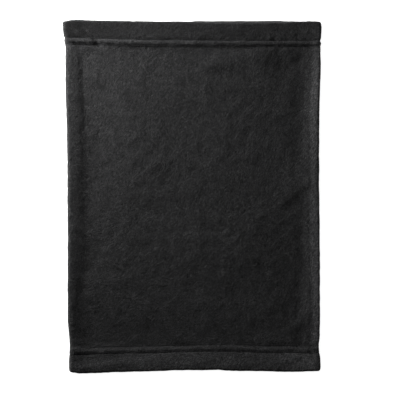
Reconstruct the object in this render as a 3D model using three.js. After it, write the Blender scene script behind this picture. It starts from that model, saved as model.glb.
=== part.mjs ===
// Neck gaiter: a stretch-fleece tube worn round the neck, lying flat on a table.
// X runs across the tube, +Y towards the upper hem, +Z up through the flattened tube.
// The origin is the centre of the lowest plane, on which the back of the tube lies.
// The cloth is one cut panel. Here it is divided at its fold lines: back and front plies,
// the fold on the right, the sewn edge with its two allowance plies on the left, and the
// turned-in half of each hem. The sewing threads and the care label are pieces of their own.
import * as THREE from "three";

// ---- driving dimensions, millimetres --------------------------------------------------
const CLOTH = 2.0; // thickness of one ply of fleece
const GAP = 0.3; // air between faces that touch
const Z_MID = 10.5; // height of the flattened tube between the hems
const Z_HEM = 12.8; // height of the flattened tube over the hems
const GROOVE = 0.9; // depth of the channel a stitch row pulls into the outer ply
const ROW = 1.2; // width of that channel
const THREAD = 0.6; // needle thread, as it lies in the channel
const LOOP = 0.5; // thickness of the looper threads' covering
const PANEL_INSET = 7.0; // from the side edge to the flat plies
const ALLOWANCE = 13.1; // from the sewn edge to the raw edge of its allowance
const HEMS = {
  top: { side: 1, end: 172.0, raw: 150.6, level: 149.0, slope: 142.0, rows: [156.8, 151.4], cover: [151.0, 157.1] },
  bottom: { side: -1, end: -170.6, raw: -149.4, level: -147.8, slope: -140.5, rows: [-155.6, -150.2], cover: [-155.9, -149.8] },
};
const FOLD_TOP = 173.9; // ends of the side fold and of the sewn edge
const FOLD_BOTTOM = -172.9;
const ALLOWANCE_Y = [-148.6, 149.6];
const LABEL = { y: [-112, -84], length: 34, thickness: 0.45, from: 14.2 };

// side edges of the flattened tube: [Y, X]
const LEFT = [[-175, -122.2], [-170, -122.4], [-165, -122.3], [-157, -121.9], [-152, -121.7], [-147, -121.9], [-139, -122.4], [-124, -123.5],
  [-94, -123.8], [-30, -123.8], [20, -124.0], [70, -124.8], [100, -125.6], [131, -126.2], [148, -126.2], [154, -126.9], [158, -127.5], [166, -128.6], [172, -129.1], [175, -128.2]];
const RIGHT = [[-175, 125.0], [-172, 127.6], [-169, 128.1], [-163, 128.0], [-157, 126.8], [-150, 126.4], [-139, 127.5], [-124, 127.8],
  [-50, 127.7], [-20, 127.4], [10, 126.9], [40, 126.9], [70, 127.1], [100, 127.7], [131, 128.6], [150, 127.9], [158, 128.5], [166, 129.2], [172, 128.6], [175, 125.2]];
// folded edges of the hems: [X, Y]
const TOP = [[-125, 175.2], [-112, 176.5], [-96, 175.9], [-66, 175.3], [-36, 174.7], [-6, 174.9], [10, 175.4], [60, 175.6], [98, 175.1], [124, 174.6]];
const BOTTOM = [[-121, -175.9], [-112, -176.5], [-96, -176.0], [-66, -174.8], [-36, -174.1], [-6, -173.3], [38, -173.9], [68, -174.4], [98, -175.0], [124, -174.0]];

// ---- small helpers --------------------------------------------------------------------
const along = (table, t) => {
  if (t <= table[0][0]) return table[0][1];
  for (let i = 1; i < table.length; i++) {
    const [a, va] = table[i - 1], [b, vb] = table[i];
    if (t <= b) return va + ((vb - va) * (t - a)) / (b - a);
  }
  return table[table.length - 1][1];
};
const left = (y) => along(LEFT, y);
const right = (y) => along(RIGHT, y);
const height = (y) => along([[-500, Z_HEM], [HEMS.bottom.level, Z_HEM], [HEMS.bottom.slope, Z_MID], [HEMS.top.slope, Z_MID], [HEMS.top.level, Z_HEM], [500, Z_HEM]], y);
const arc = (cx, cz, rx, rz, from, to, steps) => {
  const out = [];
  for (let i = 0; i <= steps; i++) {
    const a = THREE.MathUtils.degToRad(from + ((to - from) * i) / steps);
    out.push([cx + rx * Math.cos(a), cz + rz * Math.sin(a)]);
  }
  return out;
};

// a closed BufferGeometry from triangles given as point triples; shared points are merged
const solid = (triangles) => {
  const index = new Map(), points = [], faces = [];
  const id = (p) => {
    const key = p.map((v) => Math.round(v * 1e4)).join(",");
    if (!index.has(key)) {
      index.set(key, points.length / 3);
      points.push(...p);
    }
    return index.get(key);
  };
  let volume = 0;
  for (const t of triangles) {
    const [a, b, c] = t.map(id);
    if (a === b || b === c || a === c) continue;
    faces.push([a, b, c]);
    const [p, q, r] = t;
    volume += p[0] * (q[1] * r[2] - q[2] * r[1]) - p[1] * (q[0] * r[2] - q[2] * r[0]) + p[2] * (q[0] * r[1] - q[1] * r[0]);
  }
  const flat = faces.flatMap(([a, b, c]) => (volume < 0 ? [a, c, b] : [a, b, c]));
  const g = new THREE.BufferGeometry();
  g.setAttribute("position", new THREE.Float32BufferAttribute(points, 3));
  g.setIndex(flat);
  g.computeVertexNormals();
  return g;
};

// a solid through like outlines; place(u, v, s) puts an outline point at station s
const loft = (stations, outline, place) => {
  const rings = stations.map((s) => outline(s).map(([u, v]) => place(u, v, s.at ?? s)));
  const flats = stations.map((s) => outline(s));
  const tris = [];
  for (let i = 1; i < rings.length; i++) {
    const a = rings[i - 1], b = rings[i], n = a.length;
    for (let j = 0; j < n; j++) {
      const k = (j + 1) % n;
      tris.push([a[j], a[k], b[k]], [a[j], b[k], b[j]]);
    }
  }
  for (const [ring, flat, flip] of [[rings[0], flats[0], true], [rings.at(-1), flats.at(-1), false]]) {
    const contour = flat.map(([u, v]) => new THREE.Vector2(u, v));
    const turn = THREE.ShapeUtils.area(contour) > 0 ? 1 : -1;
    for (const [a, b, c] of THREE.ShapeUtils.triangulateShape(contour, []))
      tris.push((turn > 0) !== flip ? [ring[a], ring[b], ring[c]] : [ring[a], ring[c], ring[b]]);
  }
  return solid(tris);
};
const acrossY = (x, z, y) => [x, y, z];
const acrossX = (y, z, x) => [x, y, z];

// a closed band round the tube between two outlines in X and Z, from y0 to y1
const band = (outer, inner, y0, y1) => {
  const tris = [], n = outer.length;
  for (let j = 0; j < n; j++) {
    const k = (j + 1) % n;
    const [o, p, q, r] = [outer[j], outer[k], inner[k], inner[j]];
    const at = (c, y) => [c[0], y, c[1]];
    tris.push([at(o, y0), at(p, y0), at(p, y1)], [at(o, y0), at(p, y1), at(o, y1)]);
    tris.push([at(r, y0), at(q, y1), at(q, y0)], [at(r, y0), at(r, y1), at(q, y1)]);
    tris.push([at(o, y0), at(q, y0), at(p, y0)], [at(o, y0), at(r, y0), at(q, y0)]);
    tris.push([at(o, y1), at(p, y1), at(q, y1)], [at(o, y1), at(q, y1), at(r, y1)]);
  }
  return solid(tris);
};

// stations along Y: plain ones, and pairs where a channel or a step begins or ends
const stationsY = (y0, y1, extra = []) => {
  const list = [];
  const plain = [-172, -169, -163, -152.5, -139, -124, -94, -30, 20, 70, 100, 131, 148, 154, 166, 172];
  for (const y of [y0, ...plain, HEMS.bottom.level, HEMS.bottom.slope, HEMS.top.slope, HEMS.top.level, y1])
    if (y >= y0 && y <= y1) list.push({ at: y, groove: 0 });
  for (const hem of Object.values(HEMS))
    for (const row of hem.rows)
      if (row > y0 && row < y1)
        for (const side of [-1, 1])
          list.push({ at: row + (side * ROW) / 2, groove: side < 0 ? 0 : GROOVE, first: true }, { at: row + (side * ROW) / 2, groove: side < 0 ? GROOVE : 0, first: false });
  for (const e of extra) if (e > y0 && e < y1) list.push({ at: e, groove: 0, first: true }, { at: e, groove: 0, first: false });
  list.sort((a, b) => a.at - b.at || (a.first === b.first ? 0 : a.first ? -1 : 1));
  return list.filter((s, i) => {
    const inRow = Object.values(HEMS).some((h) => h.rows.some((r) => Math.abs(s.at - r) < ROW / 2 - 1e-6));
    return !(inRow && s.groove === 0) && !(i && s.first === undefined && Math.abs(s.at - list[i - 1].at) < 1e-6);
  });
};
// a station lies on the hem side of a step edge
const inside = (s, lo, hi) => (s.at > lo || (s.at === lo && s.first === false)) && (s.at < hi || (s.at === hi && s.first !== false));

// ---- cloth ----------------------------------------------------------------------------
const PANEL_Y = [HEMS.bottom.end, HEMS.top.end];
const backPanel = loft(stationsY(...PANEL_Y), (s) => {
  const a = left(s.at) + PANEL_INSET, b = right(s.at) - Z_HEM / 2 - GAP;
  return [[a, s.groove], [b, s.groove], [b, CLOTH], [a, CLOTH]];
}, acrossY);
const frontPanel = loft(stationsY(...PANEL_Y), (s) => {
  const a = left(s.at) + PANEL_INSET, b = right(s.at) - Z_HEM / 2 - GAP, z = height(s.at);
  return [[a, z - CLOTH], [b, z - CLOTH], [b, z - s.groove], [a, z - s.groove]];
}, acrossY);

// the fold on the right: one ply between the hems, two where the hems are turned in
const FOLD_STEPS = 8;
const foldExtra = [HEMS.bottom.raw, HEMS.top.raw, -156.6, 157.8];
const rightFold = loft(stationsY(FOLD_BOTTOM, FOLD_TOP, foldExtra), (s) => {
  const z = height(s.at), r = z / 2, cx = right(Math.min(Math.max(s.at, -169), 169)) - Z_HEM / 2;
  const rx = Math.max(right(s.at) - cx, r - 1.6);
  const mid = inside(s, HEMS.bottom.raw, HEMS.top.raw);
  const cover = inside(s, -156.6, HEMS.bottom.raw) || inside(s, HEMS.top.raw, 157.8);
  const wall = mid ? CLOTH : 2 * CLOTH + GAP - (cover ? GROOVE : 0);
  return [...arc(cx, r, rx - s.groove, r - s.groove, -90, 90, FOLD_STEPS), ...arc(cx, r, rx - wall, r - wall, 90, -90, FOLD_STEPS)];
}, acrossY);

// the sewn edge: each ply curls in to the seam line and runs on inside as an allowance
const lobe = (y) => (height(y) - 0.4) / 4;
const seamPly = (front) => loft(stationsY(FOLD_BOTTOM, FOLD_TOP, ALLOWANCE_Y), (s) => {
  const x = left(s.at), r = lobe(s.at), cx = x + r, g = s.groove;
  const end = inside(s, ...ALLOWANCE_Y) ? x + ALLOWANCE : cx + 0.6;
  const leg = x + PANEL_INSET - GAP;
  const ring = [[leg, g], ...arc(cx, r, r - g, r - g, 270, 90, 6), [end, 2 * r - g], [end, 2 * r - CLOTH],
    ...arc(cx, r, r - CLOTH, r - CLOTH, 90, 270, 4), [leg, CLOTH]];
  return front ? ring.map(([u, v]) => [u, height(s.at) - v]) : ring;
}, acrossY);

// turned-in half of a hem, with the fold at the mouth
const turnUp = (hem, edge, front) => {
  const xs = [];
  const x0 = left(hem.raw) + PANEL_INSET, x1 = right(hem.raw) - Z_HEM / 2 - GAP;
  for (let i = 0; i <= 10; i++) xs.push(x0 + ((x1 - x0) * i) / 10);
  const r = CLOTH + GAP / 2, d = hem.side;
  return loft(xs, (x) => {
    const y = along(edge, x) - d * r, cover = hem === HEMS.top ? 157.8 : -156.6, z = 2 * CLOTH + GAP;
    const ring = [[hem.end + d * GAP, 0], ...arc(y, r, d * r, r, -90, 90, 6), [cover, z], [cover, z - GROOVE + 0.2], [hem.raw, z - GROOVE + 0.2],
      [hem.raw, CLOTH + GAP], ...arc(y, r, (d * GAP) / 2, GAP / 2, 90, -90, 4), [hem.end + d * GAP, CLOTH]];
    return front ? ring.map(([u, v]) => [u, Z_HEM - v]) : ring;
  }, acrossX);
};

// ---- threads --------------------------------------------------------------------------
// needle rows: seen as a sunk line of stitches round the outside of the tube
const needleRow = (y) => {
  const x = left(y), cx = right(y) - Z_HEM / 2, r = lobe(y), h = Z_HEM;
  const outline = (d) => [...arc(cx, h / 2, h / 2 - d, h / 2 - d, -90, 90, 10), ...arc(x + r, h - r, r - d, r - d, 90, 180, 5), ...arc(x + r, r, r - d, r - d, 180, 270, 5)];
  return band(outline(0), outline(THREAD), y - THREAD / 2, y + THREAD / 2);
};
// looper covering: lies over the raw edge inside the tube, between the two needle rows
const cover = ([y0, y1]) => {
  const y = (y0 + y1) / 2, x = left(y) + 5.7, cx = right(y) - Z_HEM / 2, h = Z_HEM / 2, r = 2.65;
  const outline = (d) => [...arc(cx, h, r - d, r - d, -90, 90, 8), [x + d, h + r - d], [x + d, h - r + d]];
  return band(outline(0), outline(LOOP), y0, y1);
};
// overlock of the side seam: two needle rows on the allowance and two loopers round its edge
const SEAM_Z = 0.3, SEAM_T = 0.45;
const seamStations = stationsY(ALLOWANCE_Y[0] + 0.6, ALLOWANCE_Y[1] - 0.6);
const seamNeedle = (from) => loft(seamStations, (s) => {
  const x = left(s.at) + from, z = height(s.at) - 2 * lobe(s.at) + CLOTH + SEAM_Z;
  return [[x, z], [x + 0.6, z], [x + 0.6, z + SEAM_T], [x, z + SEAM_T]];
}, acrossY);
const seamLooper = (upper) => loft(seamStations, (s) => {
  const x = left(s.at), top = height(s.at), r = lobe(s.at);
  const a = 2 * r - CLOTH - SEAM_Z - SEAM_T, b = 2 * r, e = x + ALLOWANCE + SEAM_Z;
  const ring = [[x + 8.7, a], [e + SEAM_T, a], [e + SEAM_T, b], [e, b], [e, a + SEAM_T], [x + 8.7, a + SEAM_T]];
  return upper ? ring.map(([u, v]) => [u, top - v]) : ring;
}, acrossY);

// ---- care label: a blank folded ribbon caught in the side seam ------------------------
const labelX = left(-98) + LABEL.from;
const careLabel = loft([LABEL.y[0], LABEL.y[0] + 1, LABEL.y[1] - 1, LABEL.y[1]], (y) => {
  const t = LABEL.thickness, z = CLOTH + GAP, long = y === LABEL.y[0] || y === LABEL.y[1] ? LABEL.length - 1 : LABEL.length;
  return [[labelX, z], [labelX + long, z], [labelX + long, z + t], [labelX, z + t]];
}, acrossY);

// ---- scene graph ----------------------------------------------------------------------
const fleece = () => new THREE.MeshStandardMaterial({ color: 0x2c2c2e, roughness: 0.95, metalness: 0 });
const thread = () => new THREE.MeshStandardMaterial({ color: 0x1f1f21, roughness: 0.7, metalness: 0 });
const ribbon = () => new THREE.MeshStandardMaterial({ color: 0xe9e7e1, roughness: 0.55, metalness: 0 });
const group = new THREE.Group();
const add = (name, geometry, material) => {
  const mesh = new THREE.Mesh(geometry, material);
  mesh.name = name;
  group.add(mesh);
};
add("back_panel", backPanel, fleece());
add("front_panel", frontPanel, fleece());
add("right_side_fold", rightFold, fleece());
add("left_seam_back_ply", seamPly(false), fleece());
add("left_seam_front_ply", seamPly(true), fleece());
add("top_hem_back_turnup", turnUp(HEMS.top, TOP, false), fleece());
add("top_hem_front_turnup", turnUp(HEMS.top, TOP, true), fleece());
add("bottom_hem_back_turnup", turnUp(HEMS.bottom, BOTTOM, false), fleece());
add("bottom_hem_front_turnup", turnUp(HEMS.bottom, BOTTOM, true), fleece());
add("top_hem_outer_needle_thread", needleRow(HEMS.top.rows[0]), thread());
add("top_hem_inner_needle_thread", needleRow(HEMS.top.rows[1]), thread());
add("top_hem_looper_thread", cover(HEMS.top.cover), thread());
add("bottom_hem_outer_needle_thread", needleRow(HEMS.bottom.rows[0]), thread());
add("bottom_hem_inner_needle_thread", needleRow(HEMS.bottom.rows[1]), thread());
add("bottom_hem_looper_thread", cover(HEMS.bottom.cover), thread());
add("side_seam_left_needle_thread", seamNeedle(4.6), thread());
add("side_seam_right_needle_thread", seamNeedle(7.2), thread());
add("side_seam_upper_looper_thread", seamLooper(true), thread());
add("side_seam_lower_looper_thread", seamLooper(false), thread());
add("care_label", careLabel, ribbon());

export default group;
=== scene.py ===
"""Neck gaiter: a black stretch-fleece tube lying flat, seen from straight above."""
import math
import bmesh
import bpy
import numpy as np
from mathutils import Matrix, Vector


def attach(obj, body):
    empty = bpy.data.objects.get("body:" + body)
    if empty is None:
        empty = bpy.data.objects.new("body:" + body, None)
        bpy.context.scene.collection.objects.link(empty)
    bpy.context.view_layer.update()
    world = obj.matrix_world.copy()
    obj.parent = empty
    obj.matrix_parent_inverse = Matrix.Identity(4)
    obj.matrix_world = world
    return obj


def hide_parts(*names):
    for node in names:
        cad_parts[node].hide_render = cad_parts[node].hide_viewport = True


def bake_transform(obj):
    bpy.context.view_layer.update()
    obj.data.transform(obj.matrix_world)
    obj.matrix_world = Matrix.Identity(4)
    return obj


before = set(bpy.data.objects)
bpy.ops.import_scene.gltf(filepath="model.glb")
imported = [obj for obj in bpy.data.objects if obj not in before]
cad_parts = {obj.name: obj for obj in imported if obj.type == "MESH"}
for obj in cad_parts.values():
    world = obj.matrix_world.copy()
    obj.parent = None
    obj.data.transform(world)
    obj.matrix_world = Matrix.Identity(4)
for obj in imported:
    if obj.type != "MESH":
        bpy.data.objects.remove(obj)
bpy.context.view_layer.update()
MM = 0.001

# ---- dimensions, millimetres, in the row frame ------------------------------------------
CLOTH = 2.0            # one ply of fleece
TURN = 2.3             # from a ply's middle to the middle of the ply turned in behind it
Z_HEM = 12.8           # height over the hems
Z_MID = 11.0           # height at the sides between the hems
PEBBLE = 0.15          # height of the fleece's grains
# outline of the flattened tube: [Y, X] down the sides, [X, Y] along the hems' folds
LEFT = np.array([(-176, -121.9), (-172, -122.4), (-165, -122.4), (-161, -122.2), (-157, -121.9), (-153, -121.6), (-149, -121.7), (-144, -121.9),
                 (-139, -122.3), (-124, -123.5), (-109, -123.8), (-94, -123.75), (-64, -123.7), (-34, -123.8), (-10, -124.0), (26, -124.0),
                 (41, -124.2), (56, -124.5), (71, -124.8), (86, -125.2), (101, -125.6), (116, -126.0), (131, -126.2), (146, -126.1),
                 (150, -126.1), (154, -126.9), (158, -127.5), (162, -128.1), (166, -128.6), (170, -128.8), (172, -129.1), (174, -129.0), (176, -128.7)])
RIGHT = np.array([(-176, 127.6), (-172, 128.0), (-167, 128.2), (-163, 128.1), (-159, 127.7), (-155, 126.7), (-151, 126.5), (-147, 126.4),
                  (-144, 127.0), (-139, 127.5), (-124, 127.8), (-109, 127.8), (-64, 127.7), (-49, 127.6), (-34, 127.5), (-19, 127.3),
                  (-4, 127.1), (11, 126.9), (41, 126.9), (56, 127.0), (71, 127.1), (86, 127.2), (101, 127.7), (116, 128.2), (131, 128.6),
                  (146, 128.2), (150, 127.9), (152, 128.2), (156, 128.2), (160, 128.8), (164, 129.2), (168, 129.2), (172, 128.9), (176, 128.8)]) + np.array([0, 0.75])
TOP_FRONT = np.array([(-129, 174.6), (-123.5, 175.4), (-119.5, 176.0), (-115.5, 176.4), (-111, 176.5), (-96, 175.9), (-81, 175.6), (-66, 175.3),
                      (-51, 174.9), (-36, 174.7), (-21, 174.7), (-6, 174.6), (5, 174.1), (15, 173.7), (40, 173.6), (70, 173.7), (90, 174.1),
                      (103, 174.7), (113, 175.0), (121, 174.7), (128, 174.3)])
TOP_BACK = np.array([(-129, 174.2), (-119.5, 175.2), (-111, 175.4), (-96, 174.9), (-66, 174.3), (-36, 174.0), (-20, 174.3), (0, 175.2), (8, 175.5),
                     (23, 175.4), (38, 175.6), (70, 175.7), (83, 175.6), (98, 175.1), (113, 174.7), (128, 174.2)])
BOTTOM_FRONT = np.array([(-123, -176.0), (-121, -176.2), (-117, -176.4), (-112, -176.5), (-96, -176.0), (-81, -175.5), (-66, -174.8), (-51, -174.6),
                         (-36, -174.1), (-21, -173.4), (-6, -173.2), (8, -173.3), (23, -173.2), (38, -173.9), (53, -174.2), (68, -174.4),
                         (98, -175.0), (113, -174.6), (124, -174.2), (128, -174.0)]) - np.array([0, 0.4])
BOTTOM_BACK = BOTTOM_FRONT + np.array([0, 0.9])
# stitch rows: [X, Y]; the hem's outer row and its inner row
TOP_OUTER = np.array([(-129, 159.2), (-123, 159.0), (-108, 158.6), (-85, 158.0), (-60, 157.2), (-41, 156.8), (-10, 156.4), (20, 156.1), (38, 155.9), (66, 156.0), (98, 155.7), (128, 155.5)])
TOP_INNER = np.array([(-129, 153.6), (-122, 153.4), (-108, 153.0), (-85, 152.4), (-60, 151.7), (-41, 151.2), (-10, 150.9), (38, 150.9), (66, 150.8), (98, 151.0), (128, 151.2)])
BOTTOM_OUTER = np.array([(-123, -156.9), (-117, -156.8), (-95, -156.3), (-73, -155.5), (-41, -155.1), (8, -153.7), (36, -153.4), (52, -154.2), (68, -155.0), (90, -154.8), (117, -155.7), (128, -155.1)])
BOTTOM_INNER = BOTTOM_OUTER + np.array([0, 5.7])


def at(table, t):
    return np.interp(t, table[:, 0], table[:, 1])


def smooth(t):
    t = np.clip(t, 0.0, 1.0)
    return t * t * (3 - 2 * t)


def bump(t):
    return np.exp(-t * t)


# ---- value noise with a fixed seed -----------------------------------------------------
class Noise:
    """Smooth value noise on a wrapped lattice, in two dimensions."""

    def __init__(self, seed, n=256):
        self.n, self.v = n, np.random.default_rng(seed).uniform(-1, 1, (n, n))

    def __call__(self, x, y):
        xi, yi = np.floor(x).astype(int), np.floor(y).astype(int)
        fx, fy = x - xi, y - yi
        fx, fy = fx ** 3 * (fx * (fx * 6 - 15) + 10), fy ** 3 * (fy * (fy * 6 - 15) + 10)
        n, v = self.n, self.v
        a, b = v[xi % n, yi % n], v[(xi + 1) % n, yi % n]
        c, d = v[xi % n, (yi + 1) % n], v[(xi + 1) % n, (yi + 1) % n]
        return (a * (1 - fx) + b * fx) * (1 - fy) + (c * (1 - fx) + d * fx) * fy


N1, N2, N3, N4, N5 = (Noise(s) for s in (3, 5, 8, 13, 21))


# ---- the grid of the cut panel ----------------------------------------------------------
# Round the tube: back ply, right fold, front ply, left edge with its seam. A column is (kind, share of that stretch).
N_BACK, N_FLAT, N_ARC, N_FRONT, N_FLAT_L, N_ARC_L = 84, 4, 20, 216, 8, 26
BACK, R1, R2, R3, FRONTK, L1, L2, L3 = range(8)
columns = [(BACK, i / N_BACK) for i in range(N_BACK)]
columns += [(R1, i / N_FLAT) for i in range(N_FLAT)] + [(R2, i / N_ARC) for i in range(N_ARC)] + [(R3, i / N_FLAT) for i in range(N_FLAT)]
columns += [(FRONTK, i / N_FRONT) for i in range(N_FRONT)]
columns += [(L1, i / N_FLAT_L) for i in range(N_FLAT_L)] + [(L2, i / N_ARC_L) for i in range(N_ARC_L)] + [(L3, i / N_FLAT_L) for i in range(N_FLAT_L + 1)]
KIND, LOCAL = np.array([c[0] for c in columns]), np.array([c[1] for c in columns])
U = len(KIND)
I_R, I_F, I_L = N_BACK, N_BACK + 2 * N_FLAT + N_ARC, N_BACK + 2 * N_FLAT + N_ARC + N_FRONT   # first columns of the other three pieces

# Along the panel, from raw edge to raw edge: reference Y, inset behind the outer ply
FOLD_R = TURN / 2
REF = {"top": 175.3 - 2.15, "to": 156.8, "ti": 151.0, "bi": -149.4, "bo": -155.1, "bottom": -174.6 + 2.15}
N_END = 8


def zone(a, b, n):
    return list(np.linspace(a, b, n + 1)[:-1])


ys, ds = [], []
for y in zone(150.0, 159.0, 9) + zone(159.0, REF["top"], 6):
    ys.append(y), ds.append(TURN)
for k in range(N_END):
    th = math.pi * (1 - k / N_END)
    ys.append(REF["top"] + FOLD_R * math.sin(th)), ds.append(FOLD_R * (1 - math.cos(th)))
outer = (zone(REF["top"], 160.5, 13) + zone(160.5, 148.0, 27) + zone(148.0, 142.0, 7) + zone(142.0, -140.4, 264)
         + zone(-140.4, -146.4, 7) + zone(-146.4, -158.6, 26) + zone(-158.6, REF["bottom"], 14))
for y in outer:
    ys.append(y), ds.append(0.0)
for k in range(N_END):
    th = math.pi * k / N_END
    ys.append(REF["bottom"] - FOLD_R * math.sin(th)), ds.append(FOLD_R * (1 - math.cos(th)))
for y in zone(REF["bottom"], -158.0, 6) + zone(-158.0, -149.0, 9) + [-149.0]:
    ys.append(y), ds.append(TURN)
YREF, INSET = np.array(ys), np.array(ds)
V = len(YREF)
assert (V - 1) % 4 == 0 and N_FRONT % 4 == 0, V
V0 = 15 + N_END          # first row of the outer ply, and its last
V1 = V - 1 - 15 - N_END

KINDG, LOCG = np.broadcast_to(KIND[:, None], (U, V)), np.broadcast_to(LOCAL[:, None], (U, V))
YG, DG = np.broadcast_to(YREF[None, :], (U, V)).copy(), np.broadcast_to(INSET[None, :], (U, V)).copy()
is_ = [KINDG == k for k in range(8)]


def pick(*values):
    return np.select(is_, values)


# how far across the tube a column lies, and how much of it belongs to the front
ACROSS = pick(LOCG, 1.0, 1.0, 1.0, 1 - LOCG, 0.0, 0.0, 0.0)
XNOM = -117.0 + 236.0 * ACROSS + pick(0, 5 * LOCG, 6.0, 5 * (1 - LOCG), 0, -7 * LOCG, -8.0, -7 * (1 - LOCG))
FRONT = pick(0.0, 0.0, smooth(LOCG), 1.0, 1.0, 1.0, 1 - smooth(LOCG), 0.0)


def warp(yref, x, front):
    """Y of a reference row at x, so that rows and edges keep their own slight curves."""
    keys = [("top", TOP_FRONT, TOP_BACK, -2.15), ("to", TOP_OUTER, TOP_OUTER, 0), ("ti", TOP_INNER, TOP_INNER, 0),
            ("bi", BOTTOM_INNER, BOTTOM_INNER, 0), ("bo", BOTTOM_OUTER, BOTTOM_OUTER, 0), ("bottom", BOTTOM_FRONT, BOTTOM_BACK, 2.15)]
    refs = [REF[k] for k, *_ in keys]
    vals = [front * at(f, x) + (1 - front) * at(b, x) + s for _, f, b, s in keys]
    out = np.where(yref >= refs[0], vals[0] + (yref - refs[0]), vals[-1] + (yref - refs[-1]))
    for i in range(len(keys) - 1):
        hi, lo = refs[i], refs[i + 1]
        t = (yref - lo) / (hi - lo)
        if i == 2:  # the long middle takes up the difference near its ends
            k = 26.0 / (hi - lo)
            e_hi, e_lo = vals[i] - hi, vals[i + 1] - lo
            val = yref + e_hi * smooth((t - 1 + k) / k) + e_lo * smooth((k - t) / k)
        else:
            val = vals[i + 1] + (vals[i] - vals[i + 1]) * t
        out = np.where((yref < hi) & (yref >= lo), val, out)
    return out


Y = warp(YG, XNOM, FRONT)
HEM = smooth((YG - 145.6) / 5.4) + smooth((-144.0 - YG) / 5.4)   # 1 over the hems

# ---- section across the tube ------------------------------------------------------------
RX_L, RX = 3.4, 1.3    # half width of the bend at each side, to the ply's middle
BAND = 3.6             # how far the right bend's piece runs in on the front and back
BORDER_L = 9.0         # where the left edge's piece ends, from the outline
SEAM_Z = 4.45          # height of the seam line on the left edge


def side_lines(y, d):
    """The ply's middle at the left and right, the start of each bend, and the two pieces' borders."""
    left, right = at(LEFT, y), at(RIGHT, y)
    xl, xr = left + CLOTH / 2 + d - 0.2, right - CLOTH / 2 - d
    return xl, xr, RX - 0.3 * d, left + BORDER_L, right - CLOTH / 2 - RX - BAND


def fade_right(s):
    """0 where the front ply leaves the right bend, 1 in the middle of the panel: a short steep band, a crease and a long easy slope."""
    t = np.clip(s, 0, None) / 5.8
    k = 9.0
    steep = -np.log(np.exp(-k * t) + math.exp(-k)) / k
    steep = np.where(t > 4, 1.0, steep) + math.log(1 + math.exp(-k)) / k
    return np.clip(0.58 * np.clip(steep, 0, 1) + 0.42 * smooth((s - 4.5) / 17), 0, 1)


# the front ply rolls over the seam's allowance on the left: how steeply it comes down, by the distance from the outline
ROLL = np.array([(4.2, 0), (5.2, 0.08), (6.5, 0.17), (8.0, 0.25), (9.5, 0.31), (11, 0.35), (12.5, 0.34), (14.5, 0.26), (17, 0.19), (19.5, 0.13), (22, 0.07), (25.5, 0), (60, 0)])
_s = np.arange(0, 60.01, 0.05)
_roll = np.cumsum(np.interp(_s, ROLL[:, 0], ROLL[:, 1], left=0))
_roll /= _roll[-1]
# the roll is narrower lower down: [Y, how many times steeper]
ROLL_RATE = np.array([(-160, 0.85), (-147, 0.9), (-139, 1.55), (-127, 1.8), (-118, 1.8), (-85, 1.35), (-40, 1.12), (10, 1.0), (60, 0.80), (100, 0.86), (125, 0.95), (160, 0.95)])


def roll_left(s, y):
    return np.interp(4.2 + (s - 4.2) * at(ROLL_RATE, y), _s, _roll)


# height of the front ply's middle, away from the sides, from the upper fold to the lower one
RISE = np.array([(-178, 11.6), (-174, 11.5), (-170, 11.15), (-166, 10.6), (-162, 9.9), (-158.6, 9.3), (-157, 9.05), (-155.4, 8.95), (-153.8, 9.0), (-152.9, 8.85),
                 (-152.0, 8.3), (-151.1, 7.7), (-150.2, 7.4), (-148, 7.2), (-144, 7.2), (-136, 7.35), (-124, 7.5), (-100, 7.5), (0, 7.5), (100, 7.5), (128, 7.5), (140, 7.6),
                 (144, 7.8), (148, 8.1), (149.7, 8.35), (150.5, 8.75), (151.5, 9.4), (152.1, 9.7), (153.2, 9.85), (156, 9.8), (158.6, 9.85), (162, 10.3), (166, 10.8),
                 (171, 11.4), (174, 11.6), (178, 11.6)])
# the stitched rows press grooves into every ply, with a welt between them
GROOVES = ((156.35, 1.5, -0.88), (153.05, 1.15, 0.38), (149.4, 1.4, -0.05), (-156.25, 1.3, -0.31), (-153.9, 1.2, 0.12), (-149.0, 1.2, -0.04))
_y = np.arange(-179, 179.01, 0.1)
_k = np.exp(-np.linspace(-3, 3, 21) ** 2 / 2)
_z = np.convolve(np.pad(np.interp(_y, RISE[:, 0], RISE[:, 1]), 10, mode="edge"), _k / _k.sum(), mode="valid")


def rise(yref):
    return np.interp(yref, _y, _z)


def side_height(yref):
    """Height of the front ply's middle at the two sides."""
    hem = smooth((yref - 149.2) / 4.4) + smooth((-147.6 - yref) / 4.4)
    return Z_MID - CLOTH / 2 + (Z_HEM - Z_MID) * hem


def grooves(yref):
    return sum(high * bump((yref - at_) / wide) for at_, wide, high in GROOVES)


def rest_height(yref, y, x, d=0.0):
    xl, xr, rx, bl, br = side_lines(y, d)
    sway = 0.7 * N4(y / 23 + 5, 0 * y + 2) * smooth((x - bl + 4) / 8)
    m = roll_left(x - (bl - BORDER_L) - sway, y) * fade_right(xr - rx - x)
    low = 0.85 * smooth((x - 20) / 75) * smooth((146 - np.abs(yref)) / 20)
    return side_height(yref) + m * (rise(yref) - low - side_height(yref)) + grooves(yref)


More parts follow.
